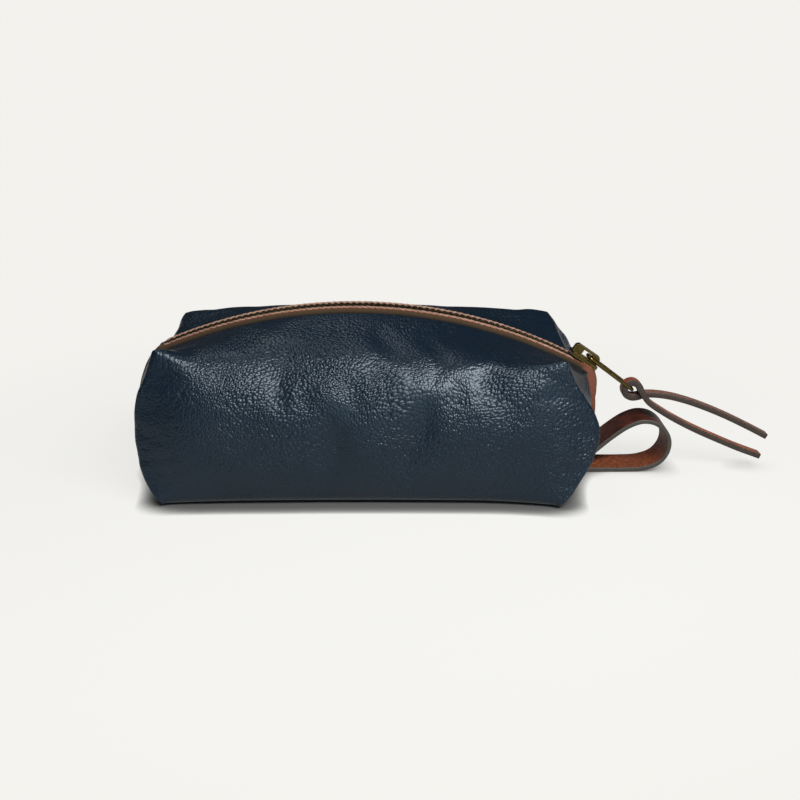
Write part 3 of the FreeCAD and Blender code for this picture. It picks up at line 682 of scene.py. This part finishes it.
def strap_leather(name, grain, flesh, edge):
    """Brown strap leather: grain outside, fibres inside and painted edges, chosen by the skin attribute."""
    n = Nodes(name)
    place = n.add("TexCoord").outputs["Object"]
    uv = n.add("UVMap", uv_map="UVMap")
    kind = n.add("Attribute", attribute_name="skin").outputs["Fac"]
    streak = n.stretched_noise(uv, (0.16, 0.5, 1.0), Detail=5.0, Roughness=0.6)
    pores = n.add("TexVoronoi", {"Vector": place, "Scale": 1700.0})
    fibre = n.stretched_noise(uv, (0.45, 0.75, 1.0), Detail=6.0, Roughness=0.75)
    outer = n.mix(n.add("MapRange", {0: streak, 1: 0.36, 2: 0.64}), *grain)
    inner = n.mix(n.add("MapRange", {0: fibre, 1: 0.34, 2: 0.62}), *flesh)
    is_inner = n.maths("GREATER_THAN", kind, 0.75)
    is_edge = n.maths("MULTIPLY", n.maths("GREATER_THAN", kind, 0.25), n.maths("LESS_THAN", kind, 0.75))
    colour = n.mix(is_edge, n.mix(is_inner, outer, inner), n.mix(fibre, *edge))
    rise = n.maths("MULTIPLY_ADD", is_inner, 1.2, 0.35)
    height = n.maths("MULTIPLY_ADD", fibre, rise, n.maths("MULTIPLY", pores, 0.5))
    rough = n.maths("MULTIPLY_ADD", is_edge, 0.12, n.maths("MULTIPLY_ADD", is_inner, 0.22, 0.36))
    n.set(Base_Color=colour, Roughness=rough, Normal=n.bump(height, 0.8, 0.0004), Specular_IOR_Level=0.45)
    return n.material


def thread_material():
    n = Nodes("dark_thread")
    place = n.add("TexCoord").outputs["Object"]
    wave = {"Vector": place, "Scale": 900.0, "Distortion": 1.0}
    ply = n.add("TexWave", wave, bands_direction="DIAGONAL").outputs["Fac"]
    colour = n.mix(ply, srgb(36, 26, 22), srgb(66, 50, 42))
    n.set(Base_Color=colour, Roughness=0.7, Normal=n.bump(ply, 0.5, 0.0001))
    return n.material


def cotton_material():
    n = Nodes("lining_cotton")
    place = n.add("TexCoord").outputs["Object"]
    warp = n.add("TexWave", {"Vector": place, "Scale": 700.0}, bands_direction="X")
    weft = n.add("TexWave", {"Vector": place, "Scale": 700.0}, bands_direction="Z")
    both = n.maths("MULTIPLY", warp.outputs["Fac"], weft.outputs["Fac"])
    colour = n.mix(both, srgb(120, 106, 84), srgb(158, 142, 114))
    n.set(Base_Color=colour, Roughness=0.9, Normal=n.bump(both, 0.4, 0.0002))
    return n.material


def braid_material():
    n = Nodes("zip_tape_braid")
    place = n.add("TexCoord").outputs["Object"]
    fine = n.stretched_noise(place, (500, 2400, 2400), Detail=3.0)
    tone = n.add("TexNoise", {"Vector": place, "Scale": 260.0, "Detail": 1.0})
    colour = n.mix(tone, srgb(116, 86, 72), srgb(176, 144, 122))
    n.set(Base_Color=colour, Roughness=0.75, Normal=n.bump(fine, 0.6, 0.0002), Specular_IOR_Level=0.25)
    return n.material


LEATHER = navy_leather()
TAPE = tape_material()
BRAID = braid_material()
BRASS = brass()
# the teeth get painted shade for the groove between the tapes
TEETH = brass("brass_teeth_painted_shade", 0.86)
THREAD = thread_material()
COTTON = cotton_material()
HANDLE = strap_leather(
    "handle_leather",
    grain=(srgb(28, 12, 10), srgb(92, 42, 27)),
    flesh=(srgb(38, 19, 13), srgb(150, 80, 46)),
    edge=(srgb(44, 40, 35), srgb(76, 70, 62)),
)
CORD = strap_leather(
    "cord_leather",
    grain=(srgb(92, 48, 31), srgb(168, 92, 57)),
    flesh=(srgb(80, 54, 45), srgb(134, 96, 80)),
    edge=(srgb(36, 28, 23), srgb(68, 54, 45)),
)


def set_uvs(obj, uvs):
    """Gives every face corner the UV of its point: millimetres along the piece and across it."""
    layer = obj.data.uv_layers.new(name="UVMap")
    for loop in obj.data.loops:
        layer.data[loop.index].uv = uvs[loop.vertex_index]


def dress(obj, material):
    obj.data.materials.clear()
    obj.data.materials.append(material)


# ------------------------------------------------------------------ leather panels and lining

for name, points, faces, keys in bag_panels(0.0):
    points, faces = hem(points, faces, keys, -1 if name == "front" else 1)
    panel = make_mesh(f"leather_{name}_panel", points, faces)
    dress(panel, LEATHER)
    add_modifier(panel, "SUBSURF", "soften", levels=1, render_levels=1)
    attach(panel, "bag")
    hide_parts(f"leather_{name}")

for name, points, faces, keys in bag_panels(2.6):
    lining = make_mesh(f"lining_{name}_cloth", points, faces)
    dress(lining, COTTON)
    add_modifier(lining, "SOLIDIFY", "cloth", thickness=0.0005, offset=-1)
    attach(lining, "bag")
    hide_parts(f"lining_{name}")

# ------------------------------------------------------------------ zip tape


TAPE_ACROSS = [2.25, 2.6, 3.2, 4.2, 5.4, 6.6, 7.8, 8.8, 9.6, 10.6, 12.0, 14.0, 15.6]
TAPE_FACES = (0.82, 0.02)  # outer and inner face, above the zip line
TAPE_SAG = {-1: 1.6, 1: 2.6}  # how deep the tape dips under the leather, by back


def sheet_quads(index, turned):
    """The quads of a 2-D array of point numbers, wound the other way round when turned."""
    corners = (index[:-1, :-1], index[:-1, 1:], index[1:, 1:], index[1:, :-1])
    return np.stack(corners[::-1] if turned else corners, axis=-1).reshape(-1, 4)


def zip_tape(name, back):
    """One half of the tape: a woven strip with a beaded inner edge, running under the leather."""
    points, uvs = [], []
    for layer in TAPE_FACES:
        for y in TAPE_ACROSS:
            sag = TAPE_SAG[back] * (max(y - 6.6, 0) / 7.0) ** 1.4
            bead = 0.25 if y < 3.0 else 0.0
            for p, q, s in zip(ZIP_PATH, path_normals(ZIP_PATH), run_length(ZIP_PATH)):
                ripple = 0.10 * math.sin(s * 0.21 + back) * (y / 15)
                # past the slider the tape puffs out between the two leather edges
                past = max(1 - ((s - CHAIN_END - 11) / 10) ** 2, 0)
                puff = 2.4 * past * max(1 - (y / 11) ** 2, 0)
                tuck = 2.6 * min(max((s - CHAIN_END) / 8, 0), 1) * min(max((y - 7.5) / 4, 0), 1)
                out = layer + bead - sag + ripple + puff - tuck
                points.append((p[0] + q[0] * out, back * y, p[1] + q[1] * out))
                uvs.append((s, y * back))
    grid = np.arange(len(points)).reshape(2, len(TAPE_ACROSS), len(ZIP_PATH))  # by layer, across and along
    pairs = ((grid[0], grid[1]), (grid[:, 0].T, grid[:, -1].T), (grid[:, :, 0], grid[:, :, -1]))
    ways = (back > 0, back < 0)  # the two sheets of a pair face opposite ways
    quads = [sheet_quads(sheet, turned) for pair in pairs for sheet, turned in zip(pair, ways)]
    tape = make_mesh(name, points, np.vstack(quads), closed=True)
    set_uvs(tape, uvs)
    dress(tape, TAPE)
    return tape


STRAND_PITCH = 3.1
STRAND_LEAN = 30  # degrees from the zip's direction
STRAND_OUT = (4.9, 0.86)  # the braid's middle, across from and above the zip line
STRAND_HALF = {-1: (2.5, 0.95, 0.50), 1: (2.5, 0.95, 0.78)}  # half length, width and height, by back
BRAID_REACH = (-24.0, 27.2)  # degrees round the zip arc


def braid(name, back):
    """The raised braid beside the chain: slanted strands laid one after another, as one mesh."""
    chain = ZIP_PATH[len(left_end) - 1 : 1 - len(right_end)]
    angle = np.degrees(np.arctan2(chain[:, 0] - ARC_CENTRE[0], chain[:, 1] - ARC_CENTRE[1]))
    start, end = max(angle[0], BRAID_REACH[0]), min(angle[-1], BRAID_REACH[1])
    pitch = math.degrees(STRAND_PITCH / ARC_RADIUS)
    shape = bmesh.new()
    bmesh.ops.create_icosphere(shape, subdivisions=3, radius=1.0)
    ball = np.array([v.co[:] for v in shape.verts])
    ball_faces = np.array([[v.index for v in f.verts] for f in shape.faces])
    shape.free()
    half_length, half_width, half_height = STRAND_HALF[back]
    points, faces = [], []
    for n in range(int((end - start) / pitch)):
        t = math.radians(start + (n + 0.5) * pitch)
        wobble = rng.normal(0, 1, 3)
        lean = math.radians(STRAND_LEAN * back + 3 * wobble[0])
        body = ball * [half_length, half_width + 0.04 * wobble[1], half_height]
        x = body[:, 0] * math.cos(lean) - body[:, 1] * math.sin(lean)
        y = body[:, 0] * math.sin(lean) + body[:, 1] * math.cos(lean) + back * STRAND_OUT[0]
        z = body[:, 2] - 0.06 * body[:, 0] + STRAND_OUT[1]
        ahead, up = np.array([math.cos(t), -math.sin(t)]), np.array([math.sin(t), math.cos(t)])
        base = ARC_CENTRE + up * ARC_RADIUS
        world = np.c_[base[0] + x * ahead[0] + z * up[0], y, base[1] + x * ahead[1] + z * up[1]]
        faces.append(ball_faces + len(points) * len(ball))
        points.append(world)
    return make_mesh(name, np.vstack(points), np.vstack(faces))


for name, back in (("front", -1), ("back", 1)):
    strands = braid(f"zip_tape_{name}_braid", back)
    dress(strands, BRAID)
    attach(strands, "bag")
    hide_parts(f"zip_tape_{name}")
    tape = zip_tape(f"zip_tape_{name}_weave", back)
    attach(tape, "bag")
    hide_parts(f"zip_tape_{name}")

# ------------------------------------------------------------------ straps


def strap(name, path, width, thickness, steps_across, round_off, swell=1.0):
    """A flat strip swept along an XYZ polyline. swell multiplies its thickness, at each point if need be.

    The skin attribute is 0 on the grain face, 0.5 on the edges and 1 on the flesh face.
    """
    ahead = np.gradient(path, axis=0)
    ahead /= np.linalg.norm(ahead, axis=1)[:, None]
    swell = np.ones(len(path)) * swell
    level = np.tile([0.0, 1.0, 0.0], (len(path), 1))
    side = level - ahead * (level * ahead).sum(1)[:, None]
    side /= np.linalg.norm(side, axis=1)[:, None]
    up = np.cross(ahead, side)
    w, t, r = width / 2, thickness / 2, round_off
    face = np.linspace(-1, 1, steps_across + 1) * (w - r)
    edge = [(w - 0.25 * r, t - 0.25 * r), (w, t - r), (w, r - t), (w - 0.25 * r, 0.25 * r - t)]
    # (across, up, kind) round the strip's section
    ring = [(a, t, 0.0) for a in face] + [(a, b, 0.5) for a, b in edge]
    ring += [(a, -t, 1.0) for a in face[::-1]] + [(-a, -b, 0.5) for a, b in edge]
    points, uvs = [], []
    for p, s, u, d, grow in zip(path, side, up, run_length(path), swell):
        for a, b, kind in ring:
            points.append(p + s * a + u * b * grow)
            uvs.append((d, a))
    m = len(ring)
    faces, kinds = [], []
    for n in range(len(path) - 1):
        for q in range(m):
            a, b = n * m + q, n * m + (q + 1) % m
            faces.append([a, b, b + m, a + m])
            pair = (ring[q][2], ring[(q + 1) % m][2])
            kinds.append(0.5 if 0.5 in pair else pair[0])
    faces.append(list(range(m))[::-1])
    faces.append([(len(path) - 1) * m + q for q in range(m)])
    kinds += [0.5, 0.5]
    obj = make_mesh(name, points, faces, closed=True)
    set_uvs(obj, uvs)
    obj.data.attributes.new("skin", "FLOAT", "FACE").data.foreach_set("value", kinds)
    return obj


def spline(points, steps):
    """A smooth 3-D polyline through control points (centripetal Catmull-Rom)."""
    p = np.asarray(points, float)
    p = np.vstack([2 * p[0] - p[1], p, 2 * p[-1] - p[-2]])
    out = []
    for i in range(1, len(p) - 2):
        p0, p1, p2, p3 = p[i - 1 : i + 3]
        t0 = 0.0
        t1 = np.linalg.norm(p1 - p0) ** 0.5
        t2 = t1 + np.linalg.norm(p2 - p1) ** 0.5
        t3 = t2 + np.linalg.norm(p3 - p2) ** 0.5
        for t in np.linspace(t1, t2, steps, endpoint=False):
            a1 = (t1 - t) / (t1 - t0) * p0 + (t - t0) / (t1 - t0) * p1
            a2 = (t2 - t) / (t2 - t1) * p1 + (t - t1) / (t2 - t1) * p2
            a3 = (t3 - t) / (t3 - t2) * p2 + (t - t2) / (t3 - t2) * p3
            b1 = (t2 - t) / (t2 - t0) * a1 + (t - t0) / (t2 - t0) * a2
            b2 = (t3 - t) / (t3 - t1) * a2 + (t - t1) / (t3 - t1) * a3
            out.append((t2 - t) / (t2 - t1) * b1 + (t - t1) / (t2 - t1) * b2)
    out.append(p[-2])
    return np.array(out)


HANDLE_LINE = [  # out of the bag's foot, over the loop and back along the floor
    (110.5, 0, 3.6), (114, 0, 6.2), (121, 0, 12.6), (129, 0, 19.6), (137, 0, 25.2), (144, 0, 27.6),
    (150.5, 0, 26.6), (155.6, 0, 22.6), (158.2, 0, 16.6), (157.4, 0, 10.4), (153.4, 0, 5.0),
    (146, 0, 2.0), (136, 0, 1.25), (124, 0, 1.2), (112, 0, 1.2), (107.5, 0, 1.3),
]
HANDLE_SHIFT = np.array([-1.4, 0, 0])
handle_path = spline(HANDLE_LINE, 8) + HANDLE_SHIFT
handle = strap("handle_strap", handle_path, 20.0, 2.3, steps_across=8, round_off=0.45)
dress(handle, HANDLE)
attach(handle, "handle")
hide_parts("handle_loop")

CORD_LINE = [  # from the puller's bar: far tail, round the bar and out along the near tail
    (72.5, 1.6, -26.4), (62.0, 2.0, -21.0), (50.8, 2.3, -15.6), (40, 2.4, -11.0),
    (29.6, 2.2, -7.2), (19.3, 1.8, -4.4), (11, 1.3, -3.3), (6.2, 0.9, -3.4),
    (2.8, 0.5, -4.2), (-0.4, 0, -4.1), (-3.2, -0.2, -2.4), (-3.9, -0.4, 0.4),
    (-2.5, -0.5, 2.9), (0.4, -0.6, 3.8), (3.0, -0.9, 2.4), (5.0, -1.4, -1.2),
    (8.4, -1.7, -6.2), (16.3, -1.8, -11.8), (25.0, -1.8, -16.9), (35.4, -1.6, -22.2),
    (46.3, -1.2, -27.2), (57.6, -0.8, -32.1), (69.3, -0.4, -36.6),
]
bar = np.array(joints["cord_swing"]["pos_m"]) / MM
cord_path = spline(CORD_LINE, 8)
knot = np.exp(-((np.linalg.norm(cord_path, axis=1) / 6.5) ** 4))  # the strip bunches up round the bar
cord = strap(
    "pull_cord_strip", cord_path + bar, 6.4, 2.75, steps_across=4, round_off=0.4, swell=1 + 0.25 * knot
)
dress(cord, CORD)
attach(cord, "pull_cord")
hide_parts("pull_cord")

# ------------------------------------------------------------------ CAD pieces that stay

dress(frame["nodes"]["puller"], BRASS)
for node in ("slider_body", "slider_crown", "zip_top_stops", "zip_bottom_stop"):
    obj = frame["nodes"][node]
    dress(obj, BRASS)
    bevel = add_modifier(obj, "BEVEL", "edges", width=0.00035, segments=3)
    bevel.limit_method, bevel.angle_limit = "ANGLE", math.radians(40)
for node in ("zip_teeth_front", "zip_teeth_back"):
    dress(frame["nodes"][node], TEETH)
for node in ("tape_stitching_front", "tape_stitching_back"):
    dress(frame["nodes"][node], THREAD)

# ------------------------------------------------------------------ stage


BACKDROP = srgb(243, 242, 238)
FLOOR_GLOW = 0.855  # the floor's own light as the camera sees it
FLOOR_BOUNCE = 0.56  # and as the bag gets it
FAR_BOUNCE = 0.6  # the same, away from the bag
FLOOR_HALF = 30.0


def floor():
    """A pale floor that fades into the backdrop away from the bag."""
    n = Nodes("pale_floor")
    place = n.add("NewGeometry").outputs["Position"]
    ray = n.add("LightPath").outputs["Is Camera Ray"]

    def by_ray(seen, other):
        """One value for camera rays and another for every other ray."""
        return n.maths("MULTIPLY_ADD", ray, n.maths("SUBTRACT", seen, other), other)

    # the camera sees a deeper contact shadow than the bag's own bounce light does, and the shadow
    # is lighter past the bag's ends, under the handle and the cord
    open_sky = n.add("AmbientOcclusion", {"Distance": 0.0115}, samples=16).outputs["AO"]
    aside = n.maths("ABSOLUTE", n.add("SeparateXYZ", {0: place}))
    depth = n.add("MapRange", {0: aside, 1: 0.080, 2: 0.128, 3: 7.5, 4: 0.8})
    seen = n.maths("MULTIPLY", n.maths("POWER", open_sky, depth), FLOOR_GLOW)
    bounce = n.maths("MULTIPLY", n.maths("MULTIPLY_ADD", open_sky, 0.65, 0.35), FLOOR_BOUNCE)
    n.set(Base_Color=(0.12, 0.12, 0.117), Roughness=1.0, Specular_IOR_Level=0.0)
    n.set(Emission_Color=BACKDROP, Emission_Strength=by_ray(seen, bounce))
    plain = n.add("Emission", {"Color": (*BACKDROP, 1), "Strength": by_ray(1.0, FAR_BOUNCE)})
    reach = n.add("VectorMath", {0: place}, operation="LENGTH").outputs["Value"]
    far = n.add("MapRange", {0: reach, 1: 0.15, 2: 0.34}, interpolation_type="SMOOTHSTEP")
    both = n.add("MixShader", {0: far, 1: n.shader, 2: plain})
    n.put(n.tree.nodes["Material Output"].inputs[0], both)
    mesh = bpy.data.meshes.new("floor")
    corners = [(x * FLOOR_HALF, y * FLOOR_HALF, 0) for x, y in ((-1, -1), (1, -1), (1, 1), (-1, 1))]
    mesh.from_pydata(corners, [], [(0, 1, 2, 3)])
    obj = bpy.data.objects.new("floor", mesh)
    obj.data.materials.append(n.material)
    bpy.context.scene.collection.objects.link(obj)


def softbox(name, place, aim, size, power, colour=(1, 1, 1)):
    """A rectangular soft light aimed at a point."""
    light = bpy.data.lights.new(name, "AREA")
    light.shape = "RECTANGLE"
    light.size, light.size_y = size
    light.energy = power
    light.color = colour
    obj = bpy.data.objects.new(name, light)
    obj.location = place
    obj.rotation_euler = (Vector(aim) - Vector(place)).to_track_quat("-Z", "Y").to_euler()
    bpy.context.scene.collection.objects.link(obj)


floor()
softbox("key_soft", (0.34, -0.62, 0.76), (0.01, -0.02, 0.05), (0.8, 0.15), 12.5)
softbox("top_soft", (-0.30, 0.10, 1.0), (0, 0, 0.05), (0.5, 0.4), 2.0)
softbox("front_soft", (0.25, -1.1, 0.26), (0.03, 0, 0.03), (0.9, 0.25), 1.8, (0.68, 0.86, 1.0))

# the camera sees the backdrop's colour behind the floor, and everything else gets a faint cool sky
world = bpy.data.worlds.new("studio")
bpy.context.scene.world = world
world.use_nodes = True
sky = world.node_tree
faint = sky.nodes["Background"]
faint.inputs["Color"].default_value = (0.9, 0.95, 1.0, 1)
faint.inputs["Strength"].default_value = 0.05
backdrop = sky.nodes.new("ShaderNodeBackground")
backdrop.inputs["Color"].default_value = (*BACKDROP, 1)
choose = sky.nodes.new("ShaderNodeMixShader")
sky.links.new(sky.nodes.new("ShaderNodeLightPath").outputs["Is Camera Ray"], choose.inputs[0])
sky.links.new(faint.outputs[0], choose.inputs[1])
sky.links.new(backdrop.outputs[0], choose.inputs[2])
sky.links.new(choose.outputs[0], sky.nodes["World Output"].inputs[0])
bpy.context.scene.view_settings.view_transform = "Standard"

camera_data = bpy.data.cameras.new("camera")
camera_data.lens = 50.0
camera_data.sensor_width = 36.0
camera_data.clip_start = 0.01
camera = bpy.data.objects.new("camera", camera_data)
camera.location = (0.0172, -0.5493, 0.2183)
camera.rotation_euler = (math.radians(90 - 18.33), 0, 0)  # 18.33 degrees down
bpy.context.scene.collection.objects.link(camera)
bpy.context.scene.camera = camera

bpy.context.view_layer.update()
